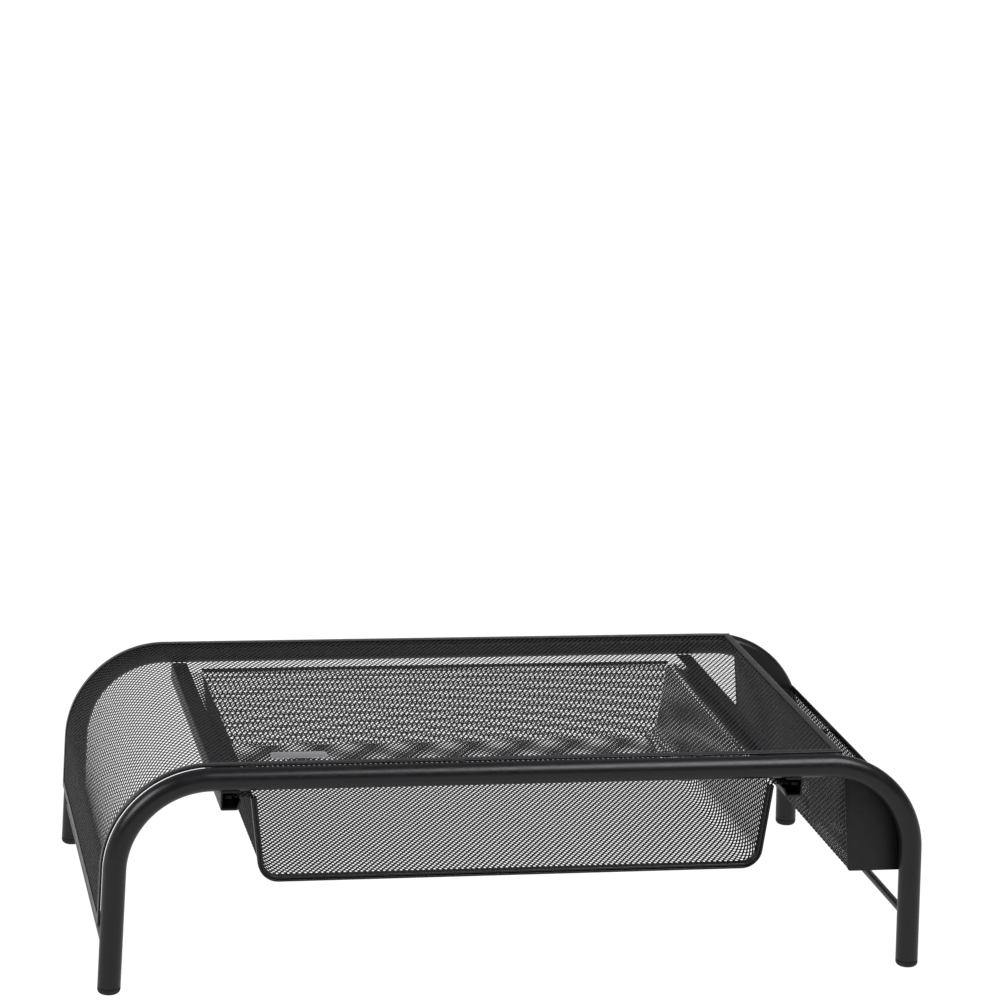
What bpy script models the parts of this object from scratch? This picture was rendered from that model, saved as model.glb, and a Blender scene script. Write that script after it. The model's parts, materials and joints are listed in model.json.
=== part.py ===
"""A mesh monitor riser: two bent tube frames carry an expanded-metal top that runs down over the left side,
with a pull-out mesh drawer hung in two rails below it and a three-compartment bin under the right bend.

Metres, +X to the right, +Y to the back, +Z up. The origin is on the desk, in the middle of the footprint.
The drawer slides forward, along -Y.
"""

import math

import bmesh
import bpy
from mathutils import Vector

MM = 0.001
GAP = 0.3 * MM

# Tube frames
FOOT_SPREAD = 494.8 * MM
FRAME_SPACING = 278.0 * MM
TUBE_RADIUS = 6.95 * MM
TUBE_WALL = 1.0 * MM
TUBE_SIDES = 20
RAIL_HEIGHT = 131.0 * MM
BEND_RADIUS = 57.0 * MM
LEAN = math.radians(1.83)
BEND_STEPS = 12

# Feet
FOOT_HEIGHT = 4.0 * MM
FOOT_RADIUS = 6.95 * MM
FOOT_PLUG_HEIGHT = 12.0 * MM
FOOT_CHAMFER = 2.2 * MM
PLUG_CHAMFER = 1.0 * MM

# Side braces
BRACE_RADIUS = 2.5 * MM
BRACE_HEIGHT = 28.0 * MM
BRACE_OUTWARD = 3.0 * MM
BRACE_SIDES = 12

# Mesh top and its folded edging
SHEET = 0.5 * MM
SHEET_GAP = 0.15 * MM
EDGE_THICKNESS = 1.4 * MM
EDGE_WALL = 0.3 * MM
EDGE_WIDTH = 5.2 * MM
EDGE_ROUND = 0.3 * MM
PANEL_DEPTH = 272.0 * MM
PANEL_RIGHT = 198.6 * MM
PANEL_LIFT = 7.25 * MM
PANEL_FOOT = 254.95 * MM
PANEL_BEND_RADIUS = 64.4 * MM
PANEL_BOTTOM = 41.0 * MM
WELD_PLACES = (-165.0 * MM, -38.0 * MM, 108.0 * MM)
WELD_RADIUS = 1.05 * MM
WELD_HALF_LENGTH = 2.6 * MM
WELD_STATIONS = (-1.0, -0.6, 0.6, 1.0)
WELD_END = 0.12

# Name plate, left blank
PLATE_SIZE = (34.0 * MM, 12.5 * MM, 0.3 * MM)
PLATE_PLACE = (-134.0 * MM, -119.0 * MM)
PLATE_CORNER = 3.0 * MM

# Drawer rails
RAIL_MIDDLE = -5.0 * MM
RAIL_OUTER = 178.1 * MM
RAIL_WIDTH = 10.3 * MM
RAIL_TOP = RAIL_HEIGHT - TUBE_RADIUS - GAP
RAIL_BOTTOM = 112.0 * MM
RAIL_WALL = 1.0 * MM
RAIL_LIP_TOP = 117.5 * MM
RAIL_LIP_LEAN = 2.0 * MM
RAIL_FRONT = -140.0 * MM
RAIL_BACK = 138.0 * MM

# Drawer
DRAWER_HALF_WIDTH = 158.4 * MM
DRAWER_FRONT = -141.0 * MM
DRAWER_BACK = 126.9 * MM
DRAWER_TOP = 119.8 * MM
DRAWER_BOTTOM = 68.6 * MM
DRAWER_DRAFT = math.tan(math.radians(7.0))
DRAWER_CORNER = 11.0 * MM
FRONT_RIM_WIDTH = 5.0 * MM
FRONT_RIM_THICKNESS = 3.4 * MM
FRONT_RIM_WALL = 2.0 * MM
FRONT_RIM_GROOVE = (0.7 * MM, 1.3 * MM)
REAR_RIM_TOP = 122.6 * MM
REAR_RIM_WIDTH = 2.2 * MM
FLANGE_EDGE = 174.9 * MM
FLANGE_RIM_WIDTH = 3.4 * MM
RUNNER_STRIP = (172.7 * MM, 173.9 * MM)
RUNNER_STRIP_SETBACK = 25.0 * MM
RUNNER_STRIP_BOTTOM = 113.6 * MM
DRAWER_TRAVEL = 200.0 * MM
STOP_RADIUS = 1.5 * MM
STOP_LENGTH = 1.5 * MM
EAR_SETBACK = 3.0 * MM
EAR_WIDTH = 5.0 * MM
EAR_THICKNESS = 2.0 * MM
EAR_TOP = 122.3 * MM

# Side bin
BIN_FRONT = -131.7 * MM
BIN_PLATE = 1.0 * MM
BIN_BOTTOM = 60.0 * MM
BIN_INNER_BOTTOM = 208.3 * MM
BIN_INNER_TOP = 201.2 * MM
BIN_INNER_HEIGHT = 134.0 * MM
BIN_OUTER = 244.0 * MM
BIN_OUTER_HEIGHT = 102.5 * MM
BIN_CORNER = 3.0 * MM
BIN_PLATE_RADIUS = 61.5 * MM
BIN_DIVIDERS = (-46.0 * MM, 42.0 * MM)
BIN_DIVIDER_TOP = 98.0 * MM
BIN_DIVIDER_NOTCH = 3.0 * MM
BIN_RIM_WIDTH = 3.5 * MM
BIN_PLATE_CHAMFER = 2.0 * MM

COLOURS = {
    "frame_paint": ((0.022, 0.022, 0.024), 0.38, 0.0),
    "mesh_paint": ((0.030, 0.030, 0.032), 0.45, 0.0),
    "sheet_paint": ((0.020, 0.020, 0.022), 0.42, 0.0),
    "foot_plastic": ((0.015, 0.015, 0.015), 0.6, 0.0),
    "plate_metal": ((0.55, 0.55, 0.56), 0.35, 1.0),
    "stop_steel": ((0.35, 0.35, 0.36), 0.35, 1.0),
}


def clear_scene():
    for obj in list(bpy.data.objects):
        bpy.data.objects.remove(obj)


def make_material(name):
    colour, roughness, metallic = COLOURS[name]
    material = bpy.data.materials.new(name)
    material.use_nodes = True
    shader = material.node_tree.nodes["Principled BSDF"]
    shader.inputs["Base Color"].default_value = (*colour, 1.0)
    shader.inputs["Roughness"].default_value = roughness
    shader.inputs["Metallic"].default_value = metallic
    return material


def add_object(name, mesh, material, parent):
    obj = bpy.data.objects.new(name, mesh)
    obj.data.materials.append(material)
    obj.parent = parent
    bpy.context.scene.collection.objects.link(obj)
    return obj


def finish_mesh(name, bm, smooth_angle=None):
    bmesh.ops.recalc_face_normals(bm, faces=bm.faces)
    mesh = bpy.data.meshes.new(name)
    bm.to_mesh(mesh)
    bm.free()
    if smooth_angle is not None:
        mesh.shade_smooth()
        mesh.set_sharp_from_angle(angle=math.radians(smooth_angle))
    return mesh


def lofted(name, rings, ring_closes=False, smooth_angle=None):
    """A closed body through rings of equally many points, capped at its ends or joined up into a loop."""
    bm = bmesh.new()
    loops = [[bm.verts.new(point) for point in ring] for ring in rings]
    pairs = list(zip(loops, loops[1:]))
    if ring_closes:
        pairs.append((loops[-1], loops[0]))
    for first, second in pairs:
        for i in range(len(first)):
            k = (i + 1) % len(first)
            bm.faces.new((first[i], first[k], second[k], second[i]))
    if not ring_closes:
        bm.faces.new(loops[0])
        bm.faces.new(loops[-1])
    return finish_mesh(name, bm, smooth_angle)


def plate(name, outline, offset):
    """A flat outline pushed out by the vector offset."""
    bm = bmesh.new()
    face = bm.faces.new([bm.verts.new(point) for point in outline])
    pushed = bmesh.ops.extrude_face_region(bm, geom=[face])
    moved = [item for item in pushed["geom"] if isinstance(item, bmesh.types.BMVert)]
    bmesh.ops.translate(bm, verts=moved, vec=offset)
    return finish_mesh(name, bm)


def folded_sheet(name, path, offset, thickness, material, parent):
    """A thin sheet whose middle follows path, drawn out by the vector offset and thickened both ways."""
    bm = bmesh.new()
    start = [bm.verts.new(point) for point in path]
    edges = [bm.edges.new(pair) for pair in zip(start, start[1:])]
    pushed = bmesh.ops.extrude_edge_only(bm, edges=edges)
    moved = [item for item in pushed["geom"] if isinstance(item, bmesh.types.BMVert)]
    bmesh.ops.translate(bm, verts=moved, vec=offset)
    thicken(add_object(name, finish_mesh(name, bm, smooth_angle=30), material, parent), thickness)


def thicken(obj, thickness):
    solidify = obj.modifiers.new("thickness", "SOLIDIFY")
    solidify.thickness = thickness
    solidify.offset = 0.0
    solidify.use_even_offset = True


def bend_centre(foot_x, top_z, radius):
    """Middle of the bend, on the right, between a leg that starts at foot_x and a rail at top_z."""
    height = top_z - radius
    return foot_x - height * math.tan(LEAN) - radius / math.cos(LEAN), height


def bend_points(foot_x, top_z, radius, steps):
    """The bend on the right from the leg up to the rail, as (x, z)."""
    middle_x, middle_z = bend_centre(foot_x, top_z, radius)
    turn = math.radians(90) - LEAN
    angles = [LEAN + turn * i / steps for i in range(steps + 1)]
    return [(middle_x + radius * math.cos(a), middle_z + radius * math.sin(a)) for a in angles]


def leg_x(height):
    """X of the right leg's middle at a height."""
    return FOOT_SPREAD / 2 - height * math.tan(LEAN)


def arch_path():
    """Middle line of a tube frame as (x, z), from the left foot over the top to the right foot."""
    right = [(leg_x(FOOT_HEIGHT + GAP), FOOT_HEIGHT + GAP)]
    right += bend_points(FOOT_SPREAD / 2, RAIL_HEIGHT, BEND_RADIUS, BEND_STEPS)
    left = [(-x, z) for x, z in right]
    return left + right[::-1]


def path_tangents(path):
    steps = [(Vector(b) - Vector(a)).normalized() for a, b in zip(path, path[1:])]
    middles = [(a + b).normalized() for a, b in zip(steps, steps[1:])]
    return [steps[0], *middles, steps[-1]]


def round_ring(centre, across, up, radius, sides=TUBE_SIDES):
    angles = [math.tau * i / sides for i in range(sides)]
    return [centre + across * (radius * math.cos(a)) + up * (radius * math.sin(a)) for a in angles]


def add_tube_frame(name, y, material, parent):
    """A bent tube, hollow and open at both feet. Its ends are cut level with the desk."""
    path = arch_path()
    tangents = path_tangents(path)
    tangents[0] = Vector((0, 1))
    tangents[-1] = Vector((0, -1))
    rings = {TUBE_RADIUS: [], TUBE_RADIUS - TUBE_WALL: []}
    for (x, z), tangent in zip(path, tangents):
        across = Vector((-tangent.y, 0, tangent.x))
        for radius, found in rings.items():
            found.append(round_ring(Vector((x, y, z)), across, Vector((0, 1, 0)), radius))
    outer, inner = rings.values()
    mesh = lofted(name, outer + inner[::-1], ring_closes=True, smooth_angle=40)
    add_object(name, mesh, material, parent)


def add_foot(name, side, y, material, parent):
    """A plastic cap under the tube, with a plug that goes up into it along the leaning leg."""
    plug = TUBE_RADIUS - TUBE_WALL - GAP
    plug_top = FOOT_HEIGHT + FOOT_PLUG_HEIGHT
    rounding = FOOT_CHAMFER * (1 - math.sqrt(0.5))
    profile = [
        (FOOT_RADIUS - FOOT_CHAMFER, 0.0),
        (FOOT_RADIUS - rounding, rounding),
        (FOOT_RADIUS, FOOT_CHAMFER),
        (FOOT_RADIUS, FOOT_HEIGHT),
        (plug, FOOT_HEIGHT),
        (plug, plug_top - PLUG_CHAMFER),
        (plug - PLUG_CHAMFER, plug_top),
    ]
    rings = []
    for radius, height in profile:
        centre = Vector((side * leg_x(height), y, height))
        rings.append(round_ring(centre, Vector((1, 0, 0)), Vector((0, 1, 0)), radius))
    add_object(name, lofted(name, rings, smooth_angle=40), material, parent)


def add_brace(name, side, material, parent):
    """A rod between the two legs of one side."""
    x = side * (leg_x(BRACE_HEIGHT) + BRACE_OUTWARD)
    half = FRAME_SPACING / 2 - math.sqrt(TUBE_RADIUS**2 - (BRACE_OUTWARD - BRACE_RADIUS) ** 2) - GAP
    ends = [Vector((x, y, BRACE_HEIGHT)) for y in (-half, half)]
    across = (Vector((1, 0, 0)), Vector((0, 0, 1)))
    rings = [round_ring(end, *across, BRACE_RADIUS, BRACE_SIDES) for end in ends]
    add_object(name, lofted(name, rings, smooth_angle=40), material, parent)


def panel_path(inset=0.0):
    """Middle line of the mesh top as (x, z), from its right edge to its bottom edge on the left."""
    top_z = RAIL_HEIGHT + PANEL_LIFT
    bend = [(-x, z) for x, z in bend_points(PANEL_FOOT, top_z, PANEL_BEND_RADIUS, BEND_STEPS)]
    bottom_z = PANEL_BOTTOM + inset
    bottom = (-(PANEL_FOOT - bottom_z * math.tan(LEAN)), bottom_z)
    return [(PANEL_RIGHT - inset, top_z), *bend[::-1], bottom]


def edging_section(width):
    """The U that folds over a sheet's edge, as (distance in from the edge, distance off the sheet)."""
    outer = EDGE_THICKNESS / 2
    inner = outer - EDGE_WALL
    upper = [(width, inner), (width, outer), (EDGE_ROUND, outer), (0.0, outer - EDGE_ROUND)]
    lower = [(inset, -off) for inset, off in upper[::-1]]
    return upper + lower + [(EDGE_WALL, -inner), (EDGE_WALL, inner)]


def add_long_edging(name, side, material, parent):
    """Edging along the front or the back of the top and down the left side, mitred at both ends."""
    path = panel_path()
    tangents = path_tangents(path)
    y_edge = side * PANEL_DEPTH / 2
    rings = []
    for i, ((x, z), tangent) in enumerate(zip(path, tangents)):
        normal = Vector((tangent.y, 0, -tangent.x))
        mitre = {0: 1.0, len(path) - 1: -1.0}.get(i, 0.0)
        ring = []
        for inset, off in edging_section(EDGE_WIDTH):
            along = mitre * (inset + GAP)
            point = Vector((x, y_edge - side * inset, z)) + normal * off
            ring.append(point + Vector((tangent.x, 0, tangent.y)) * along)
        rings.append(ring)
    add_object(name, lofted(name, rings, smooth_angle=30), material, parent)


def add_end_edging(name, index, material, parent):
    """Edging along the right edge of the top (index 0) or the bottom edge on the left (index -1)."""
    path = panel_path()
    tangent = path_tangents(path)[index]
    inward = tangent if index == 0 else -tangent
    x, z = path[index]
    normal = Vector((tangent.y, 0, -tangent.x))
    rings = []
    for side in (-1, 1):
        ring = []
        for inset, off in edging_section(EDGE_WIDTH):
            y = side * (PANEL_DEPTH / 2 - inset - GAP)
            ring.append(Vector((x, y, z)) + normal * off + Vector((inward.x, 0, inward.y)) * inset)
        rings.append(ring)
    add_object(name, lofted(name, rings), material, parent)


def add_top_panel(material, parent):
    """The mesh sheet itself. It ends inside the folded edging."""
    inset = EDGE_WALL + GAP
    half = PANEL_DEPTH / 2 - inset
    path = [(x, -half, z) for x, z in panel_path(inset)]
    folded_sheet("top_mesh_panel", path, (0, 2 * half, 0), SHEET, material, parent)


def add_weld(name, x, side, material, parent):
    """A small weld bead in the groove between the edging and the rail."""
    edge_y = PANEL_DEPTH / 2
    reach = FRAME_SPACING / 2 - edge_y
    tube_top = RAIL_HEIGHT + math.sqrt(TUBE_RADIUS**2 - (reach - GAP - WELD_RADIUS) ** 2)
    centre = Vector((x, side * (edge_y + GAP), tube_top + GAP))
    turns = [math.radians(15 * i) for i in range(7)]
    quarter = [(math.cos(turn), math.sin(turn)) for turn in turns] + [(0.0, 0.0)]
    rings = []
    for along in WELD_STATIONS:
        width = WELD_RADIUS * math.sqrt(max(1.0 - along * along, WELD_END))
        step = along * WELD_HALF_LENGTH
        rings.append([centre + Vector((step, side * out * width, up * width)) for out, up in quarter])
    add_object(name, lofted(name, rings), material, parent)


def add_name_plate(material, parent):
    width, depth, height = PLATE_SIZE
    corners = []
    for sx, sy, start in ((1, 1, 0), (-1, 1, 90), (-1, -1, 180), (1, -1, 270)):
        middle_x = sx * (width / 2 - PLATE_CORNER)
        middle_y = sy * (depth / 2 - PLATE_CORNER)
        turns = [math.radians(start + 22.5 * i) for i in range(5)]
        radius = PLATE_CORNER
        corners += [(middle_x + radius * math.cos(t), middle_y + radius * math.sin(t)) for t in turns]
    bottom = RAIL_HEIGHT + PANEL_LIFT + SHEET / 2 + SHEET_GAP
    outline = [(PLATE_PLACE[0] + x, PLATE_PLACE[1] + y, bottom) for x, y in corners]
    add_object("name_plate_blank", plate("name_plate_blank", outline, (0, 0, height)), material, parent)


def rail_section():
    """C-section of a drawer rail as (distance outward, height), with a low lip on the drawer's side."""
    outer = RAIL_OUTER
    inner = RAIL_OUTER - RAIL_WIDTH
    wall = RAIL_WALL
    return [
        (inner, RAIL_TOP),
        (inner, RAIL_TOP - wall),
        (outer - wall, RAIL_TOP - wall),
        (outer - wall, RAIL_BOTTOM + wall),
        (inner + wall, RAIL_BOTTOM + wall),
        (inner + wall - RAIL_LIP_LEAN, RAIL_LIP_TOP),
        (inner - RAIL_LIP_LEAN, RAIL_LIP_TOP),
        (inner, RAIL_BOTTOM),
        (outer, RAIL_BOTTOM),
        (outer, RAIL_TOP),
    ]


def add_rail(name, side, material, parent):
    rings = []
    for y in (RAIL_FRONT, RAIL_BACK):
        rings.append([Vector((RAIL_MIDDLE + side * out, y, z)) for out, z in rail_section()])
    add_object(name, lofted(name, rings), material, parent)


def stop_place(side):
    """(x, y) of the stop pin under a rail's top flange."""
    x = RAIL_MIDDLE + side * (RAIL_OUTER - RAIL_WIDTH / 2)
    return x, DRAWER_BACK - EAR_SETBACK - DRAWER_TRAVEL - STOP_RADIUS - GAP


def add_rail_stop(name, side, material, parent):
    """A pin that hangs from the rail's top flange and catches the ear on the drawer's runner."""
    x, y = stop_place(side)
    top = RAIL_TOP - RAIL_WALL - GAP
    rings = [
        round_ring(Vector((x, y, z)), Vector((1, 0, 0)), Vector((0, 1, 0)), STOP_RADIUS, 16)
        for z in (top - STOP_LENGTH, top)
    ]
    add_object(name, lofted(name, rings, smooth_angle=40), material, parent)


def drawer_half_width(height):
    return DRAWER_HALF_WIDTH - (DRAWER_TOP - height) * DRAWER_DRAFT


def drawer_profile(top):
    """Middle line of the drawer's U as (x, z), from the left wall's top to the right one's."""
    draft = math.atan(DRAWER_DRAFT)
    middle_z = DRAWER_BOTTOM + DRAWER_CORNER
    middle_x = drawer_half_width(middle_z) - DRAWER_CORNER / math.cos(draft)
    radius = DRAWER_CORNER
    turns = [i / 6 * (math.radians(90) - draft) - math.radians(90) for i in range(7)]
    right = [(middle_x + radius * math.cos(t), middle_z + radius * math.sin(t)) for t in turns]
    right.append((drawer_half_width(top), top))
    left = [(-x, z) for x, z in right]
    return [(RAIL_MIDDLE + x, z) for x, z in left[::-1] + right]


def add_drawer_basket(material, parent):
    """Mesh floor, side walls and flanges in one fold, with a back wall. The front and the top are open."""
    flange_end = FLANGE_EDGE - EDGE_WALL - GAP
    outline = drawer_profile(DRAWER_TOP)
    left, right = [(RAIL_MIDDLE + side * flange_end, DRAWER_TOP) for side in (-1, 1)]
    bm = bmesh.new()
    front, back = [
        [bm.verts.new((x, y, z)) for x, z in [left, *outline, right]]
        for y in (DRAWER_FRONT + FRONT_RIM_WALL + GAP, DRAWER_BACK)
    ]
    for i in range(len(front) - 1):
        bm.faces.new((front[i], front[i + 1], back[i + 1], back[i]))
    rear_top = REAR_RIM_TOP - EDGE_WALL - GAP
    raised = [bm.verts.new((x, DRAWER_BACK, rear_top)) for x, _ in (outline[-1], outline[0])]
    bm.faces.new(back[1:-1] + raised)
    mesh = finish_mesh("drawer_mesh_basket", bm, smooth_angle=30)
    thicken(add_object("drawer_mesh_basket", mesh, material, parent), SHEET)


def front_rim_section():
    """The front rim as (distance in from the front, distance off the sheet), with a groove in front."""
    outer = FRONT_RIM_THICKNESS / 2
    inner = SHEET / 2 + SHEET_GAP
    groove, depth = FRONT_RIM_GROOVE
    upper = [
        (FRONT_RIM_WIDTH, inner),
        (FRONT_RIM_WIDTH, outer - EDGE_ROUND),
        (FRONT_RIM_WIDTH - EDGE_ROUND, outer),
        (EDGE_ROUND, outer),
        (0.0, outer - EDGE_ROUND),
        (0.0, groove / 2),
        (depth, groove / 2),
    ]
    lower = [(inset, -off) for inset, off in upper[::-1]]
    return upper + lower + [(FRONT_RIM_WALL, -inner), (FRONT_RIM_WALL, inner)]


def add_drawer_front_rim(material, parent):
    """Edging round the drawer's open front: down one wall, along the floor and up the other."""
    path = drawer_profile(DRAWER_TOP - SHEET / 2 - GAP)
    section = front_rim_section()
    rings = []
    for (x, z), tangent in zip(path, path_tangents(path)):
        normal = Vector((tangent.y, 0, -tangent.x))
        rings.append([Vector((x, DRAWER_FRONT + inset, z)) + normal * off for inset, off in section])
    for ring in (rings[0], rings[-1]):
        for point in ring:
            point.z = path[0][1]
    add_object("drawer_front_rim", lofted("drawer_front_rim", rings, smooth_angle=30), material, parent)


def straight_rim(name, ends, inward, normal, width):
    """Edging on the straight edge between two ends. Inward points into the sheet, normal stands off it."""
    section = edging_section(width)
    return lofted(name, [[end + inward * inset + normal * off for inset, off in section] for end in ends])


def add_drawer_rims(material, parent):
    """Edging on the flanges, which runs inside the rails, and on top of the back wall."""
    front = DRAWER_FRONT + FRONT_RIM_WALL
    back = DRAWER_BACK - SHEET / 2 - GAP
    for name, side in (("drawer_left_rim", -1), ("drawer_right_rim", 1)):
        ends = [Vector((RAIL_MIDDLE + side * FLANGE_EDGE, y, DRAWER_TOP)) for y in (front, back)]
        rim = straight_rim(name, ends, Vector((-side, 0, 0)), Vector((0, 0, 1)), FLANGE_RIM_WIDTH)
        add_object(name, rim, material, parent)
    half = DRAWER_HALF_WIDTH + SHEET
    ends = [Vector((RAIL_MIDDLE + side * half, DRAWER_BACK, REAR_RIM_TOP)) for side in (-1, 1)]
    rim = straight_rim("drawer_rear_rim", ends, Vector((0, 0, -1)), Vector((0, 1, 0)), REAR_RIM_WIDTH)
    add_object("drawer_rear_rim", rim, material, parent)


def add_runner(name, side, material, parent):
    """A strip under the flange's edging. It hangs inside the rail, behind the rail's lip."""
    inner, outer = RUNNER_STRIP
    top = DRAWER_TOP - EDGE_THICKNESS / 2 - GAP
    corners = [(inner, top), (outer, top), (outer, RUNNER_STRIP_BOTTOM), (inner, RUNNER_STRIP_BOTTOM)]
    ends = (DRAWER_FRONT + RUNNER_STRIP_SETBACK, DRAWER_BACK)
    rings = [[Vector((RAIL_MIDDLE + side * x, y, z)) for x, z in corners] for y in ends]
    add_object(name, lofted(name, rings), material, parent)


def add_runner_ear(name, side, material, parent):
    """The ear on the back end of the flange's edging. It meets the stop pin when the drawer is fully out."""
    middle, _ = stop_place(side)
    low = DRAWER_TOP + EDGE_THICKNESS / 2 + GAP
    left = middle - EAR_WIDTH / 2
    right = middle + EAR_WIDTH / 2
    corners = [(left, low), (right, low), (right, EAR_TOP), (left, EAR_TOP)]
    outline = [(x, DRAWER_BACK - EAR_SETBACK, z) for x, z in corners]
    add_object(name, plate(name, outline, (0, EAR_THICKNESS, 0)), material, parent)


def bin_wall_x(height):
    share = (height - BIN_BOTTOM) / (BIN_INNER_HEIGHT - BIN_BOTTOM)
    return BIN_INNER_BOTTOM + (BIN_INNER_TOP - BIN_INNER_BOTTOM) * share


def add_bin_mesh(material, parent):
    """Inner wall, floor and outer wall of the bin, folded from one mesh sheet."""
    floor = BIN_BOTTOM + SHEET / 2
    top = BIN_INNER_HEIGHT - EDGE_WALL - GAP
    profile = [(bin_wall_x(top), top)]
    profile += corner_arc(bin_wall_x(BIN_BOTTOM) + BIN_CORNER, floor + BIN_CORNER, 180, 270)
    profile += corner_arc(BIN_OUTER - BIN_CORNER, floor + BIN_CORNER, 270, 360)
    profile += [(BIN_OUTER, BIN_OUTER_HEIGHT - EDGE_WALL - GAP)]
    start = BIN_FRONT + BIN_PLATE + GAP
    path = [(x, start, z) for x, z in profile]
    folded_sheet("side_bin_mesh", path, (0, -2 * start, 0), SHEET, material, parent)


def corner_arc(middle_x, middle_z, first, last):
    turns = [math.radians(first + (last - first) * i / 4) for i in range(5)]
    return [(middle_x + BIN_CORNER * math.cos(t), middle_z + BIN_CORNER * math.sin(t)) for t in turns]


def bin_plate_outline():
    """Front plate's outline as (x, z): it follows the bend on top and the mesh walls at the sides."""
    middle_x, middle_z = bend_centre(FOOT_SPREAD / 2, RAIL_HEIGHT, BEND_RADIUS)
    left = bin_wall_x(BIN_BOTTOM) - SHEET
    right = BIN_OUTER + SHEET
    top_left = bin_wall_x(BIN_INNER_HEIGHT) - SHEET
    start = math.acos((top_left - middle_x) / BIN_PLATE_RADIUS)
    end = math.acos((right - middle_x) / BIN_PLATE_RADIUS)
    radius = BIN_PLATE_RADIUS
    turns = [start + (end - start) * i / 10 for i in range(11)]
    top = [(middle_x + radius * math.cos(t), middle_z + radius * math.sin(t)) for t in turns]
    bottom = [
        (right, BIN_BOTTOM + BIN_CORNER),
        (right - BIN_CORNER, BIN_BOTTOM),
        (left + BIN_PLATE_CHAMFER, BIN_BOTTOM),
        (left, BIN_BOTTOM + BIN_PLATE_CHAMFER),
    ]
    return top + bottom


def add_bin_plate(name, y, material, parent):
    outline = [(x, y, z) for x, z in bin_plate_outline()]
    add_object(name, plate(name, outline, (0, BIN_PLATE, 0)), material, parent)


def add_bin_divider(name, y, material, parent):
    clear = SHEET / 2 + GAP
    low = BIN_BOTTOM + SHEET + GAP + BIN_CORNER / 2
    right = BIN_OUTER - clear
    corners = [
        (bin_wall_x(low) + clear + BIN_CORNER / 2, low),
        (right - BIN_CORNER / 2, low),
        (right, low + BIN_CORNER),
        (right, BIN_DIVIDER_TOP - EDGE_THICKNESS),
        (right - BIN_DIVIDER_NOTCH, BIN_DIVIDER_TOP),
        (bin_wall_x(BIN_DIVIDER_TOP) + clear, BIN_DIVIDER_TOP),
        (bin_wall_x(low) + clear, low + BIN_CORNER),
    ]
    outline = [(x, y, z) for x, z in corners]
    add_object(name, plate(name, outline, (0, BIN_PLATE, 0)), material, parent)


def add_bin_rims(material, parent):
    """Edging on the bin's leaning inner wall and its upright outer wall."""
    half = -(BIN_FRONT + BIN_PLATE + GAP)
    down = Vector((BIN_INNER_BOTTOM - BIN_INNER_TOP, 0, BIN_BOTTOM - BIN_INNER_HEIGHT)).normalized()
    for name, x, z, inward in (
        ("side_bin_inner_rim", BIN_INNER_TOP, BIN_INNER_HEIGHT, down),
        ("side_bin_outer_rim", BIN_OUTER, BIN_OUTER_HEIGHT, Vector((0, 0, -1))),
    ):
        ends = [Vector((x, y, z)) for y in (-half, half)]
        normal = Vector((-inward.z, 0, inward.x))
        add_object(name, straight_rim(name, ends, inward, normal, BIN_RIM_WIDTH), material, parent)


def add_frames(materials, parent):
    for name, side in (("front_tube_frame", -1), ("rear_tube_frame", 1)):
        add_tube_frame(name, side * FRAME_SPACING / 2, materials["frame_paint"], parent)
    for end, y in (("front", -FRAME_SPACING / 2), ("rear", FRAME_SPACING / 2)):
        for hand, side in (("left", -1), ("right", 1)):
            add_foot(f"{end}_{hand}_foot_cap", side, y, materials["foot_plastic"], parent)
    add_brace("left_brace_rod", -1, materials["frame_paint"], parent)
    add_brace("right_brace_rod", 1, materials["frame_paint"], parent)


def add_top(materials, parent):
    paint = materials["frame_paint"]
    add_top_panel(materials["mesh_paint"], parent)
    add_long_edging("front_edging", -1, paint, parent)
    add_long_edging("rear_edging", 1, paint, parent)
    add_end_edging("right_edging", 0, paint, parent)
    add_end_edging("left_edging", -1, paint, parent)
    for end, side in (("front", -1), ("rear", 1)):
        for number, x in enumerate(WELD_PLACES, 1):
            add_weld(f"{end}_weld_{number}", x, side, paint, parent)
    add_name_plate(materials["plate_metal"], parent)


def add_drawer_rails(materials, parent):
    for hand, side in (("left", -1), ("right", 1)):
        add_rail(f"{hand}_drawer_rail", side, materials["frame_paint"], parent)
        add_rail_stop(f"{hand}_rail_stop", side, materials["stop_steel"], parent)


def add_drawer(materials, parent):
    paint = materials["frame_paint"]
    add_drawer_basket(materials["mesh_paint"], parent)
    add_drawer_front_rim(paint, parent)
    add_drawer_rims(paint, parent)
    for hand, side in (("left", -1), ("right", 1)):
        add_runner(f"drawer_{hand}_runner", side, paint, parent)
        add_runner_ear(f"drawer_{hand}_ear", side, paint, parent)


def add_side_bin(materials, parent):
    sheet = materials["sheet_paint"]
    add_bin_mesh(materials["mesh_paint"], parent)
    add_bin_plate("side_bin_front_plate", BIN_FRONT, sheet, parent)
    add_bin_plate("side_bin_rear_plate", -BIN_FRONT - BIN_PLATE, sheet, parent)
    for number, y in enumerate(BIN_DIVIDERS, 1):
        add_bin_divider(f"side_bin_divider_{number}", y, sheet, parent)
    add_bin_rims(materials["frame_paint"], parent)


def main():
    clear_scene()
    materials = {name: make_material(name) for name in COLOURS}
    stand = bpy.data.objects.new("stand", None)
    drawer = bpy.data.objects.new("drawer", None)
    drawer.parent = stand
    for empty in (stand, drawer):
        bpy.context.scene.collection.objects.link(empty)
    add_frames(materials, stand)
    add_top(materials, stand)
    add_drawer_rails(materials, stand)
    add_side_bin(materials, stand)
    add_drawer(materials, drawer)


main()
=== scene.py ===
"""Looks of the monitor riser: real expanded-metal mesh, folded edging, smooth bent tube and powder coat.

Metres, +X to the right, +Y to the back, +Z up, as in the CAD frame. Profiles are (x, z) paths in the
stand's own frame, whose middle sits SHIFT to the right of the origin.
"""

import json
import math

import bmesh
import bpy
import numpy as np
from mathutils import Matrix, Vector

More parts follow.
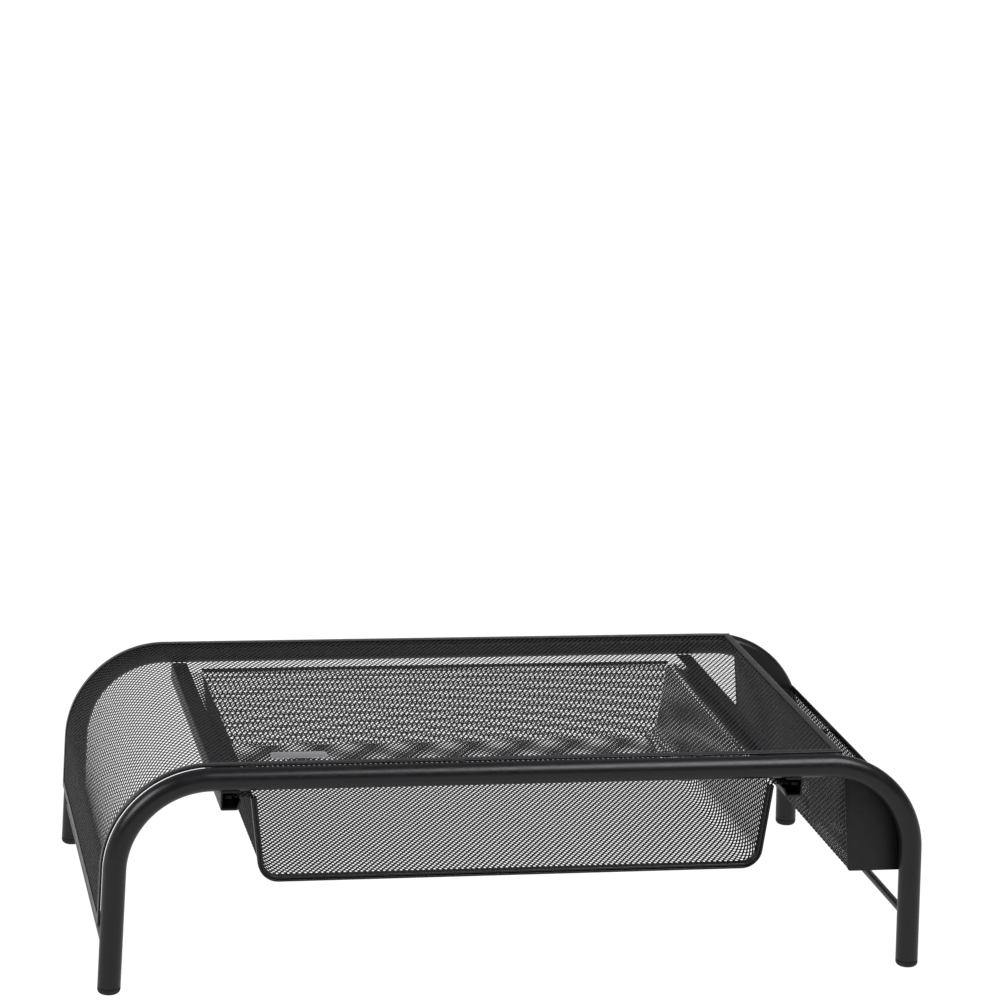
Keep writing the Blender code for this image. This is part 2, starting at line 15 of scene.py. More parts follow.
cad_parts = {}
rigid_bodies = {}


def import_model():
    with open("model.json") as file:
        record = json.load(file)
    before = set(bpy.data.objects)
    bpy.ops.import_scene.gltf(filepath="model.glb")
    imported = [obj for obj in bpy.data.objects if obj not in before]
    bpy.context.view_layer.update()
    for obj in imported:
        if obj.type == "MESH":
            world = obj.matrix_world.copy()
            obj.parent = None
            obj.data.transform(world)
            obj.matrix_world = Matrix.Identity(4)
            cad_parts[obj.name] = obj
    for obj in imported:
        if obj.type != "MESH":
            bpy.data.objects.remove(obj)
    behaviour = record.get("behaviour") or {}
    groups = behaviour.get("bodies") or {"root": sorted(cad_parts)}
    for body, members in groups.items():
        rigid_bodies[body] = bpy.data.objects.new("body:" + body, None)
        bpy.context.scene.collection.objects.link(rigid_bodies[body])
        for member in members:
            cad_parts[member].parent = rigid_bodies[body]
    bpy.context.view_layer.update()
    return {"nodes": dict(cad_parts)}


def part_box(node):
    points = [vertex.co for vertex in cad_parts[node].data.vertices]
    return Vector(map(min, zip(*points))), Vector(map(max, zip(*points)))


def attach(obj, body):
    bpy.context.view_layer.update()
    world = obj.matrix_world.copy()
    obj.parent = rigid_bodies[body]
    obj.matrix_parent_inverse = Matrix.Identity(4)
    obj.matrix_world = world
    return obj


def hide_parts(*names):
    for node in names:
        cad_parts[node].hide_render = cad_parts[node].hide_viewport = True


MM = 0.001
GAP = 0.3 * MM

# Tube frames and feet
FOOT_SPREAD = 494.8 * MM
FRAME_SPACING = 278.0 * MM
TUBE_RADIUS = 6.95 * MM
TUBE_WALL = 1.0 * MM
RAIL_HEIGHT = 131.0 * MM
BEND_RADIUS = 57.0 * MM
LEAN = math.radians(1.83)
FOOT_HEIGHT = 4.0 * MM
FOOT_RADIUS = 6.95 * MM
FOOT_BOTTOM_ROUNDING = 2.8 * MM
FOOT_TOP_ROUNDING = 0.15 * MM
PLUG_TOP = 16.0 * MM
PLUG_CHAMFER = 1.0 * MM
BRACE_RADIUS = 2.5 * MM
BRACE_HEIGHT = 28.0 * MM
BRACE_OUTWARD = 3.0 * MM

# Sheet and edging
SHEET = 0.5 * MM
EDGE_THICKNESS = 1.4 * MM
EDGE_WALL = 0.3 * MM
EDGE_WIDTH = 5.2 * MM
EDGE_NOSE = 0.5 * MM
EDGE_LIP = 0.12 * MM
MITRE_GAP = 0.02 * MM
PANEL_DEPTH = 272.0 * MM
PANEL_RIGHT = 198.6 * MM
PANEL_LIFT = 7.25 * MM
PANEL_FOOT = 254.95 * MM
PANEL_BEND_RADIUS = 64.4 * MM
PANEL_BOTTOM = 41.0 * MM

# Welds and name plate
WELD_PLACES = (-165.0 * MM, -38.0 * MM, 108.0 * MM)
WELD_OUT = 0.2 * MM
WELD_SINK = 0.05 * MM
WELD_HALF_LENGTH = 2.7 * MM
WELD_HALF_DEPTH = 1.7 * MM
WELD_HALF_HEIGHT = 0.85 * MM
PLATE_MIDDLE = (-134.0 * MM, -119.0 * MM)
PLATE_SIZE = (34.0 * MM, 12.5 * MM)
PLATE_HEIGHT = 0.3 * MM
PLATE_CORNER = 3.0 * MM
PLATE_BEVEL = 0.1 * MM

# Drawer rails and runners
RAIL_MIDDLE = -5.0 * MM
RAIL_OUTER = 178.1 * MM
RAIL_INNER = 167.8 * MM
RAIL_TOP = RAIL_HEIGHT - TUBE_RADIUS - GAP
RAIL_BOTTOM = 112.0 * MM
RAIL_WALL = 1.0 * MM
RAIL_LIP_TOP = 117.5 * MM
RAIL_LIP_LEAN = 2.0 * MM
RAIL_ENDS = (-140.0 * MM, 138.0 * MM)
RAIL_EDGE_ROUNDING = 0.3 * MM
RAIL_BEND_ROUNDING = 1.1 * MM
RUNNER_INNER = 172.7 * MM
RUNNER_OUTER = 173.9 * MM
RUNNER_BOTTOM = 113.6 * MM
RUNNER_ROUNDING = 0.35 * MM
RUNNER_SETBACK = 25.0 * MM

# Drawer
DRAWER_HALF_WIDTH = 158.4 * MM
DRAWER_FRONT = -141.0 * MM
DRAWER_BACK = 126.9 * MM
DRAWER_TOP = 119.8 * MM
DRAWER_BOTTOM = 68.6 * MM
DRAWER_DRAFT = math.radians(7.0)
DRAWER_CORNER = 11.0 * MM
FRONT_RIM_WIDTH = 5.0 * MM
FRONT_RIM_THICKNESS = 3.4 * MM
FRONT_RIM_WALL = 2.0 * MM
FRONT_RIM_SLOT = 0.8 * MM
FRONT_RIM_GROOVE = 0.7 * MM
FRONT_RIM_GROOVE_DEPTH = 1.3 * MM
FRONT_RIM_NOSE = 0.6 * MM
FRONT_RIM_LIP = 0.3 * MM
FRONT_RIM_DROP = 0.4 * MM
REAR_RIM_TOP = 122.6 * MM
REAR_RIM_WIDTH = 2.2 * MM
FLANGE_EDGE = 174.9 * MM
FLANGE_RIM_WIDTH = 3.4 * MM
FLANGE_RIM_SETBACK = 0.3 * MM
FLANGE_FOLD = 1.5 * MM

# Side bin
BIN_BOTTOM = 60.0 * MM
BIN_INNER_BOTTOM = 208.3 * MM
BIN_INNER_TOP = 201.2 * MM
BIN_INNER_HEIGHT = 134.0 * MM
BIN_OUTER = 244.0 * MM
BIN_OUTER_HEIGHT = 102.5 * MM
BIN_CORNER = 3.0 * MM
BIN_RIM_WIDTH = 3.5 * MM
BIN_FRONT = -131.7 * MM
BIN_HALF = 130.4 * MM
BIN_PLATE = 1.0 * MM
BIN_PLATE_RADIUS = 61.5 * MM
BIN_PLATE_CORNER = 2.0 * MM
BIN_PLATE_BEVEL = 0.25 * MM
DIVIDER_FRONTS = (-46.0 * MM, 42.0 * MM)
DIVIDER_TOP = 98.0 * MM
DIVIDER_CORNER = 3.0 * MM
DIVIDER_INNER_CORNER = 0.4 * MM

# Expanded metal: a honeycomb of tilted strands. BOND is half the length of a joint between strands, a
# tilt is the way the strands lean, and a gauge says how much heavier they are than on the top. Cells
# whose middles are up to BORDER outside the sheet are made too. Points that agree to a tenth of a
# micrometre are merged, and faces under SMALLEST_FACE, in square metres, are dropped.
PITCH_SHORT = 3.42 * MM
PITCH_LONG = 5.8 * MM
BOND = 0.3 * MM
STRAND = 0.33 * MM
STRAND_THICKNESS = 0.29 * MM
STRAND_SLOPE = math.tan(math.radians(30))
BORDER = 0.2 * MM
SMALLEST_FACE = 1e-10
MERGE_SCALE = 1e7
TOP_TILT = -1
DRAWER_TILT = -1
REAR_WALL_TILT = 1
BIN_TILT = -1
DRAWER_GAUGE = 1.4
REAR_WALL_GAUGE = 1.3
BIN_GAUGE = 1.4

# Round shapes: sides of a circle, steps of a bend or a corner, the turns of a quarter circle in degrees,
# and the degrees above which an edge is sharp
TUBE_SIDES = 48
ROD_SIDES = 32
BEND_STEP = math.radians(3)
TUBE_BEND_STEP = math.radians(2.5)
SECTION_STEPS = 4
DIVIDER_STEPS = 5
NAME_PLATE_STEPS = 8
BIN_ARC_STEPS = 24
FINE_QUARTER = range(0, 91, 15)
COARSE_QUARTER = range(0, 91, 30)
SHARP = 35
SHARP_ON_FOOT = 40
SHARP_ON_TUBE = 50
SHARP_ON_WELD = 60
SHARP_ON_PLATE = 50

# Light. The camera sees the floor and the world as pure white. FLOOR_LIGHT is what the floor gives every
# other ray. The world gives WORLD_FRONT to WORLD_BEHIND over the range FRONT_TO_BEHIND of the ray's Y,
# times 1 to WORLD_ABOVE over the range LEVEL_TO_ABOVE of its Z.
SEEN_WHITE = 1.06
FLOOR_LIGHT = 0.66
WORLD_FRONT = 0.12
WORLD_BEHIND = 0.9
WORLD_ABOVE = 0.25
FRONT_TO_BEHIND = (0.1, 0.8)
LEVEL_TO_ABOVE = (0.08, 0.22)
COOL_WHITE = (0.97, 0.98, 1.0)
PURE_WHITE = (1.0, 1.0, 1.0, 1.0)
FLOOR_HALF = 30.0
FLOOR_DROP = 0.05 * MM
# Each area light: name, place, the point it faces, size and watts
AREA_LIGHTS = (
    ("overhead", (0.7, -0.7, 1.5), (0.0, 0.0, 0.1), (1.3, 0.8), 22.0),
    ("left", (-1.5, -0.45, 1.15), (-0.2, 0.0, 0.1), (0.8, 0.8), 16.0),
)

# Camera: place in the stand's frame, and yaw, pitch and roll in degrees
CAMERA_PLACE = (-431.78 * MM, -2123.62 * MM, 769.67 * MM)
CAMERA_TURN = (11.6720, 13.0758, 2.2346)
CAMERA_LENS = 127.467
CAMERA_SENSOR = 36.0


for leftover in list(bpy.data.objects):
    bpy.data.objects.remove(leftover)
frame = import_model()
tube_low, tube_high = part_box("front_tube_frame")
SHIFT = (tube_low.x + tube_high.x) / 2


# ---------------------------------------------------------------- paths and shapes


class Path:
    """A path in the (x, z) plane: straight runs with a round bend at each inner corner."""

    def __init__(self, corners, radii):
        points = [Vector(corner) for corner in corners]
        self.runs = []
        start = points[0]
        for before, corner, after, radius in zip(points, points[1:], points[2:], radii):
            into = (corner - before).normalized()
            out = (after - corner).normalized()
            turn = into.angle_signed(out)
            reach = radius * math.tan(abs(turn) / 2)
            self.add_line(start, corner - into * reach)
            side = -1.0 if turn > 0 else 1.0
            middle = corner - into * reach + Vector((-into.y, into.x)) * radius * side
            self.runs.append(("arc", middle, radius, corner - into * reach, -turn, radius * abs(turn)))
            start = corner + out * reach
        self.add_line(start, points[-1])
        self.length = sum(run[-1] for run in self.runs)

    def add_line(self, start, end):
        self.runs.append(("line", start, (end - start).normalized(), None, None, (end - start).length))

    def at(self, along):
        """Points and left-hand normals at distances along the path, as arrays."""
        along = np.asarray(along, float)
        points = np.zeros(along.shape + (2,))
        tangents = np.zeros(along.shape + (2,))
        begin = 0.0
        for number, (kind, first, second, third, turn, length) in enumerate(self.runs):
            last = number == len(self.runs) - 1
            started = along >= begin - 1e-12 if begin else along > -1
            inside = started & ((along < begin + length) | last)
            local = along[inside] - begin
            if kind == "line":
                points[inside] = np.array(first) + local[:, None] * np.array(second)
                tangents[inside] = np.array(second)
            else:
                angle = local / second * np.sign(turn)
                spoke = np.array(third - first)
                cos, sin = np.cos(angle), np.sin(angle)
                turned = np.stack([spoke[0] * cos - spoke[1] * sin, spoke[0] * sin + spoke[1] * cos], -1)
                points[inside] = np.array(first) + turned
                quarter = np.stack([-turned[:, 1], turned[:, 0]], -1) / second
                tangents[inside] = quarter * np.sign(turn)
            begin += length
        return points, np.stack([-tangents[..., 1], tangents[..., 0]], -1)

    def stations(self, step=BEND_STEP):
        """Distances along the path that follow its bends closely."""
        found = [0.0]
        begin = 0.0
        for kind, _, _, _, turn, length in self.runs:
            count = max(1, math.ceil(abs(turn) / step)) if kind == "arc" else 1
            found += [begin + length * (i + 1) / count for i in range(count)]
            begin += length
        return found


def leg_x(height):
    return FOOT_SPREAD / 2 - height * math.tan(LEAN)


def tube_path():
    top = RAIL_HEIGHT
    low = FOOT_HEIGHT + GAP
    corners = [(-leg_x(low), low), (-leg_x(top), top), (leg_x(top), top), (leg_x(low), low)]
    return Path(corners, [BEND_RADIUS, BEND_RADIUS])


def panel_path():
    top = RAIL_HEIGHT + PANEL_LIFT
    side = [(PANEL_FOOT - z * math.tan(LEAN), z) for z in (top, PANEL_BOTTOM)]
    corners = [(PANEL_RIGHT, top), *[(-x, z) for x, z in side]]
    return Path(corners, [PANEL_BEND_RADIUS])


def drawer_half(height):
    return DRAWER_HALF_WIDTH - (DRAWER_TOP - height) * math.tan(DRAWER_DRAFT)


def drawer_corners(top):
    low = DRAWER_BOTTOM
    left = [(-drawer_half(z), z) for z in (top, low)]
    right = [(drawer_half(z), z) for z in (low, top)]
    return [(RAIL_MIDDLE + x, z) for x, z in left + right]


def drawer_path():
    """The middle of the drawer's sheet: flange, wall, floor, wall and flange."""
    reach = FLANGE_EDGE - EDGE_WALL - GAP
    ends = [(RAIL_MIDDLE + side * reach, DRAWER_TOP) for side in (-1, 1)]
    corners = [ends[0], *drawer_corners(DRAWER_TOP), ends[1]]
    return Path(corners, [FLANGE_FOLD, DRAWER_CORNER, DRAWER_CORNER, FLANGE_FOLD])


def bin_wall_x(height):
    share = (height - BIN_BOTTOM) / (BIN_INNER_HEIGHT - BIN_BOTTOM)
    return BIN_INNER_BOTTOM + (BIN_INNER_TOP - BIN_INNER_BOTTOM) * share


def bin_path():
    top = BIN_INNER_HEIGHT - EDGE_WALL - GAP
    floor = BIN_BOTTOM + SHEET / 2
    outer_top = BIN_OUTER_HEIGHT - EDGE_WALL - GAP
    inner = [(bin_wall_x(z), z) for z in (top, floor)]
    outer = [(BIN_OUTER, z) for z in (floor, outer_top)]
    return Path(inner + outer, [BIN_CORNER] * 2)


def rounded(outline, radius, steps):
    """A closed 2D outline with each corner rounded. Radius is one value, or one for each corner."""
    count = len(outline)
    radii = [radius] * count if isinstance(radius, float) else radius
    found = []
    for i in range(count):
        corner = Vector(outline[i])
        before = (Vector(outline[i - 1]) - corner).normalized()
        after = (Vector(outline[(i + 1) % count]) - corner).normalized()
        half = before.angle(after) / 2
        if radii[i] <= 0 or half > math.radians(89):
            found.append(corner)
            continue
        reach = radii[i] / math.tan(half)
        start = corner + before * reach
        end = corner + after * reach
        middle = corner + (before + after).normalized() * (radii[i] / math.sin(half))
        for k in range(steps + 1):
            spoke = (start - middle).lerp(end - middle, k / steps)
            found.append(middle + spoke.normalized() * radii[i])
    return found


def mesh_from(name, points, faces, smooth=None):
    mesh = bpy.data.meshes.new(name)
    mesh.from_pydata([tuple(point) for point in points], [], faces)
    bm = bmesh.new()
    bm.from_mesh(mesh)
    bmesh.ops.recalc_face_normals(bm, faces=bm.faces)
    bm.to_mesh(mesh)
    bm.free()
    if smooth is not None:
        mesh.shade_smooth()
        mesh.set_sharp_from_angle(angle=math.radians(smooth))
    return mesh


def loft(name, rings, loop=False, smooth=SHARP):
    """A closed skin through rings of equally many points, capped at both ends or joined into a loop."""
    size = len(rings[0])
    points = [point for ring in rings for point in ring]
    faces = []
    count = len(rings)
    for row in range(count if loop else count - 1):
        below = row * size
        above = (row + 1) % count * size
        for i in range(size):
            k = (i + 1) % size
            faces.append((below + i, below + k, above + k, above + i))
    if not loop:
        faces.append(tuple(range(size)))
        faces.append(tuple(range((count - 1) * size, count * size)))
    return mesh_from(name, points, faces, smooth)


def stand_point(x, y, z):
    return Vector((x + SHIFT, y, z))


def circle(middle, across, up, radius, sides):
    angles = [math.tau * i / sides for i in range(sides)]
    return [middle + across * (radius * math.cos(a)) + up * (radius * math.sin(a)) for a in angles]


def swept(name, path, section):
    """Sweeps a closed section along a path.

    Each point of the section is (y, distance off the path, shift). The shift is how far the point moves
    inward along the path at its two ends, which cuts a mitre.
    """
    rings = []
    stations = path.stations()
    points, normals = path.at(stations)
    for number, ((x, z), (nx, nz)) in enumerate(zip(points, normals)):
        ring = []
        for y, off, shift in section:
            slide = shift if number == 0 else -shift if number == len(stations) - 1 else 0.0
            ring.append(stand_point(x + nx * off + nz * slide, y, z + nz * off - nx * slide))
        rings.append(ring)
    return loft(name, rings)


def arc(middle, radius, angles):
    """Points of an arc in the (x, z) plane."""
    x, z = middle
    return [(x + radius * math.cos(angle), z + radius * math.sin(angle)) for angle in angles]


def piece(name, mesh, material, body, *nodes):
    """A finished piece: its material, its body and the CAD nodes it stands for."""
    obj = bpy.data.objects.new(name, mesh)
    bpy.context.scene.collection.objects.link(obj)
    mesh.materials.clear()
    mesh.materials.append(MATERIALS[material])
    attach(obj, body)
    if nodes:
        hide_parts(*nodes)


# ---------------------------------------------------------------- materials


def new_material(name):
    material = bpy.data.materials.new(name)
    material.use_nodes = True
    tree = material.node_tree
    return material, tree, tree.nodes["Principled BSDF"]


def noise(tree, scale, detail=3.0, stretch=(1, 1, 1)):
    place = tree.nodes.new("ShaderNodeTexCoord")
    mapping = tree.nodes.new("ShaderNodeMapping")
    mapping.inputs["Scale"].default_value = stretch
    texture = tree.nodes.new("ShaderNodeTexNoise")
    texture.inputs["Scale"].default_value = scale
    texture.inputs["Detail"].default_value = detail
    tree.links.new(place.outputs["Object"], mapping.inputs["Vector"])
    tree.links.new(mapping.outputs["Vector"], texture.inputs["Vector"])
    return texture.outputs["Fac"]


def ranged(tree, factor, low, high, start=0.3, end=0.7):
    """Turns the range start to end into low to high. Noise mostly lies between 0.3 and 0.7."""
    node = tree.nodes.new("ShaderNodeMapRange")
    node.inputs["From Min"].default_value = start
    node.inputs["From Max"].default_value = end
    node.inputs["To Min"].default_value = low
    node.inputs["To Max"].default_value = high
    tree.links.new(factor, node.inputs["Value"])
    return node.outputs["Result"]


def tinted(tree, factor, dark, light):
    """A colour that noise moves between dark and light."""
    ramp = tree.nodes.new("ShaderNodeValToRGB")
    ramp.color_ramp.elements[0].position = 0.35
    ramp.color_ramp.elements[0].color = (*dark, 1.0)
    ramp.color_ramp.elements[1].position = 0.68
    ramp.color_ramp.elements[1].color = (*light, 1.0)
    tree.links.new(factor, ramp.inputs["Fac"])
    return ramp.outputs["Color"]


def bumped(tree, shader, height, strength, distance):
    bump = tree.nodes.new("ShaderNodeBump")
    bump.inputs["Strength"].default_value = strength
    bump.inputs["Distance"].default_value = distance
    tree.links.new(height, bump.inputs["Height"])
    tree.links.new(bump.outputs["Normal"], shader.inputs["Normal"])


def powder_coat(name, dark, light, roughness, specular, grain):
    """Satin powder coat: a fine orange peel, slightly uneven gloss and a faint speckle."""
    material, tree, shader = new_material(name)
    tree.links.new(tinted(tree, noise(tree, 1400, 2), dark, light), shader.inputs["Base Color"])
    tree.links.new(ranged(tree, noise(tree, 160), *roughness), shader.inputs["Roughness"])
    shader.inputs["Specular IOR Level"].default_value = specular
    bumped(tree, shader, noise(tree, 950, 2), grain, 0.06 * MM)
    return material


def brushed_metal(name, dark, light, roughness, stretch):
    """Bare metal, whose brush marks run along the axis with the lowest value in stretch."""
    material, tree, shader = new_material(name)
    colour = tinted(tree, noise(tree, 500, 4, stretch), dark, light)
    gloss = ranged(tree, noise(tree, 700, 3, stretch), *roughness)
    tree.links.new(colour, shader.inputs["Base Color"])
    tree.links.new(gloss, shader.inputs["Roughness"])
    shader.inputs["Metallic"].default_value = 1.0
    bumped(tree, shader, noise(tree, 900, 3, stretch), 0.2, 0.02 * MM)
    return material


def moulded_plastic(name, dark, light):
    """Dull plastic with a fine grain."""
    material, tree, shader = new_material(name)
    tree.links.new(tinted(tree, noise(tree, 700), dark, light), shader.inputs["Base Color"])
    tree.links.new(ranged(tree, noise(tree, 300), 0.5, 0.66), shader.inputs["Roughness"])
    shader.inputs["Specular IOR Level"].default_value = 0.4
    bumped(tree, shader, noise(tree, 2200, 1), 0.25, 0.05 * MM)
    return material


MATERIALS = {
    "frame_paint": powder_coat(
        "frame_paint",
        dark=(0.009, 0.009, 0.010),
        light=(0.013, 0.013, 0.0145),
        roughness=(0.28, 0.38),
        specular=0.42,
        grain=0.22,
    ),
    "mesh_paint": powder_coat(
        "mesh_paint",
        dark=(0.020, 0.020, 0.021),
        light=(0.030, 0.030, 0.032),
        roughness=(0.36, 0.48),
        specular=0.45,
        grain=0.15,
    ),
    "sheet_paint": powder_coat(
        "sheet_paint",
        dark=(0.010, 0.010, 0.011),
        light=(0.014, 0.014, 0.015),
        roughness=(0.40, 0.52),
        specular=0.38,
        grain=0.25,
    ),
    "foot_plastic": moulded_plastic(
        "foot_plastic",
        dark=(0.008, 0.008, 0.009),
        light=(0.013, 0.013, 0.014),
    ),
    "plate_metal": brushed_metal(
        "plate_metal",
        dark=(0.62, 0.60, 0.61),
        light=(0.78, 0.76, 0.77),
        roughness=(0.42, 0.54),
        stretch=(1, 14, 14),
    ),
    "stop_steel": brushed_metal(
        "stop_steel",
        dark=(0.30, 0.30, 0.31),
        light=(0.42, 0.42, 0.43),
        roughness=(0.3, 0.45),
        stretch=(8, 8, 1),
    ),
}


# ---------------------------------------------------------------- expanded metal


def cell_corners(inset):
    """Six corners of a mesh cell about its middle, as (short way, long way), pulled in by inset."""
    half_short = PITCH_SHORT / 2
    tip = PITCH_LONG / 2 - BOND
    slope = math.atan2(tip - BOND, half_short)
    side = half_short - inset
    shoulder = BOND + inset * math.tan(slope) - inset / math.cos(slope)
    point = tip - inset / math.cos(slope)
    upper = [(side, shoulder), (0, point), (-side, shoulder)]
    lower = [(-side, -shoulder), (0, -point), (side, -shoulder)]
    return np.array(upper + lower)


def expanded_metal(name, place, size, tilt=1, clamp=None, keep=None, gauge=1.0):
    """Expanded metal over a rectangle size = (short way, long way), as a closed mesh.

    place maps arrays (short, long, height off the sheet) to points. clamp pulls border points onto the
    outline, and keep picks the cells whose middles lie on the sheet. tilt is the way the strands lean,
    and gauge makes them wider and thicker. Each cell has twelve points: six round it, and six round its
    hole.
    """
    outer = cell_corners(0.0)
    hole = cell_corners(STRAND * gauge)
    columns = np.arange(-1, math.ceil(size[0] / PITCH_SHORT * 2) + 2)
    rows = np.arange(-1, math.ceil(size[1] / PITCH_LONG * 2) + 2)
    grid = np.array([(c, r) for c in columns for r in rows if (c + r) % 2 == 0], float)
    middles = grid * (PITCH_SHORT / 2, PITCH_LONG / 2)
    inside = np.all((middles > -BORDER) & (middles < np.array(size) + BORDER), 1)
    if keep is not None:
        inside &= keep(middles[:, 0], middles[:, 1])
    middles = middles[inside]
    flat = np.concatenate([middles[:, None] + outer, middles[:, None] + hole], 1)
    rise = np.zeros(flat.shape[:2])
    rise[:, 6:] = (hole[:, 0] - outer[:, 0]) * STRAND_SLOPE * tilt
    if clamp is None:
        flat = np.clip(flat, 0.0, np.array(size))
    else:
        flat = np.stack(clamp(flat[..., 0], flat[..., 1]), -1)
    keys = np.round(flat.reshape(-1, 2) * MERGE_SCALE).astype(np.int64)
    _, first, index = np.unique(keys, axis=0, return_index=True, return_inverse=True)
    index = index.reshape(-1, 12)
    spots = flat.reshape(-1, 2)[first]
    heights = rise.reshape(-1)[first]
    total = len(spots)
    around = [(i, (i + 1) % 6) for i in range(6)]
    tops = np.concatenate([index[:, [a, b, b + 6, a + 6]] for a, b in around])
    first_diagonal = spots[tops[:, 2]] - spots[tops[:, 0]]
    second_diagonal = spots[tops[:, 3]] - spots[tops[:, 1]]
    cross = first_diagonal[:, 0] * second_diagonal[:, 1] - second_diagonal[:, 0] * first_diagonal[:, 1]
    tops = tops[0.5 * np.abs(cross) > SMALLEST_FACE]
    edges = np.concatenate([tops[:, [i, (i + 1) % 4]] for i in range(4)])
    edges = edges[edges[:, 0] != edges[:, 1]]
    codes = edges[:, 0] * total + edges[:, 1]
    mates = edges[:, 1] * total + edges[:, 0]
    start, end = edges[~np.isin(codes, mates)].T
    walls = np.stack([end, start, start + total, end + total], 1)
    faces = np.concatenate([tops, tops[:, ::-1] + total, walls])
    half = STRAND_THICKNESS * gauge / 2
    short = np.concatenate([spots[:, 0]] * 2)
    long = np.concatenate([spots[:, 1]] * 2)
    height = np.concatenate([heights + half, heights - half])
    points = place(short, long, height)
    return raw_mesh(name, points, faces)


def raw_mesh(name, points, faces):
    """A mesh straight from arrays. Quads that fold to a triangle lose their doubled corner."""
    lists = []
    for face in faces.tolist():
        corners = [face[i] for i in range(4) if face[i] != face[i - 1]]
        if len(corners) > 2:
            lists.append(corners)
    used = np.unique(np.concatenate([np.array(corners) for corners in lists]))
    renumber = np.zeros(len(points), int)
    renumber[used] = np.arange(len(used))
    lists = [[int(renumber[i]) for i in corners] for corners in lists]
    mesh = bpy.data.meshes.new(name)
    mesh.from_pydata(points[used].tolist(), [], lists)
    return mesh


def along_path(path, start, y_start):
    """Places expanded metal on a sheet that follows path from start, and runs back from y_start."""

    def place(short, long, height):
        points, normals = path.at(short + start)
        spot = points + normals * height[:, None]
        return np.stack([spot[:, 0] + SHIFT, long + y_start, spot[:, 1]], -1)

    return place


def mesh_strips(prefix, path, margins, y_range, strips, body, node, tilt, gauge=1.0):
    """Splits a long mesh sheet into strips along its path, so that no piece grows too heavy."""
    first = margins[0]
    length = path.length - margins[0] - margins[1]
    step = PITCH_SHORT * math.ceil(length / strips / PITCH_SHORT)
    for number in range(strips):
        begin = first + number * step
        width = min(step, first + length - begin)
        place = along_path(path, begin, y_range[0])
        size = (width, y_range[1] - y_range[0])
        mesh = expanded_metal(f"{prefix}_{number + 1}", place, size, tilt, gauge=gauge)
        piece(mesh.name, mesh, "mesh_paint", body, node)


def drawer_rear_wall():
    """The rear wall has the drawer's outline, with its long way upright."""
    low = DRAWER_BOTTOM
    top = REAR_RIM_TOP - EDGE_WALL - GAP
    bend = DRAWER_BOTTOM + DRAWER_CORNER
    bend_x = drawer_half(bend) - DRAWER_CORNER

    def half(height):
        below_top = DRAWER_TOP - np.clip(height, bend, DRAWER_TOP)
        wall = DRAWER_HALF_WIDTH - below_top * math.tan(DRAWER_DRAFT)
        drop = np.clip(bend - height, 0.0, DRAWER_CORNER)
        return np.where(height < bend, bend_x + np.sqrt(DRAWER_CORNER**2 - drop**2), wall)

    def keep(short, long):
        reach = half(np.clip(long + low, low, top)) + 0.3 * PITCH_SHORT
        return np.abs(short - DRAWER_HALF_WIDTH) < reach

    def clamp(short, long):
        long = np.clip(long, 0.0, top - low)
        reach = half(long + low)
        return np.clip(short, DRAWER_HALF_WIDTH - reach, DRAWER_HALF_WIDTH + reach), long

    def place(short, long, height):
        x = short - DRAWER_HALF_WIDTH + RAIL_MIDDLE + SHIFT
        return np.stack([x, DRAWER_BACK - height, long + low], -1)

    size = (2 * DRAWER_HALF_WIDTH, top - low)
    name = "drawer_rear_wall_mesh"
    return expanded_metal(name, place, size, REAR_WALL_TILT, clamp, keep, REAR_WALL_GAUGE)


# ---------------------------------------------------------------- pieces


def rounded_section(corners, radii):
    return [tuple(point) for point in rounded(corners, radii, SECTION_STEPS)]


def edging_section(width):
    """The U that folds over a sheet's edge, as (distance in from the edge, distance off the sheet)."""
    outer = EDGE_THICKNESS / 2
    inner = outer - EDGE_WALL
    corners = [
        (width, inner),
        (width, outer),
        (0, outer),
        (0, -outer),
        (width, -outer),
        (width, -inner),
        (EDGE_WALL, -inner),
        (EDGE_WALL, inner),
    ]
    radii = [0.0, EDGE_LIP, EDGE_NOSE, EDGE_NOSE, EDGE_LIP, 0.0, 0.0, 0.0]
    return rounded_section(corners, radii)


def front_rim_section():
    """The drawer's thicker rim, with a groove along its front."""
    outer = FRONT_RIM_THICKNESS / 2
    inner = FRONT_RIM_SLOT / 2
    groove, depth = FRONT_RIM_GROOVE, FRONT_RIM_GROOVE_DEPTH
    corners = [
        (FRONT_RIM_WIDTH, inner),
        (FRONT_RIM_WIDTH, outer),
        (0, outer),
        (0, groove / 2),
        (depth, groove / 2),
        (depth, -groove / 2),
        (0, -groove / 2),
        (0, -outer),
        (FRONT_RIM_WIDTH, -outer),
        (FRONT_RIM_WIDTH, -inner),
        (FRONT_RIM_WALL, -inner),
        (FRONT_RIM_WALL, inner),
    ]
    nose, lip = FRONT_RIM_NOSE, FRONT_RIM_LIP
    radii = [0.0, lip, nose, lip, 0.0, 0.0, lip, nose, lip, 0.0, 0.0, 0.0]
    return rounded_section(corners, radii)


def add_tube_frame(name, y):
    """A bent tube, open inside, whose two ends are cut level."""
    path = tube_path()
    stations = path.stations(TUBE_BEND_STEP)
    points, normals = path.at(stations)
    normals[0] = (-1, 0)
    normals[-1] = (1, 0)
    outer, inner = [], []
    for (x, z), (nx, nz) in zip(points, normals):
        for radius, rings in ((TUBE_RADIUS, outer), (TUBE_RADIUS - TUBE_WALL, inner)):
            middle = stand_point(x, y, z)
            rings.append(circle(middle, Vector((nx, 0, nz)), Vector((0, 1, 0)), radius, TUBE_SIDES))
    mesh = loft(name, outer + inner[::-1], loop=True, smooth=SHARP_ON_TUBE)
    piece(f"{name}_fine", mesh, "frame_paint", "stand", name)


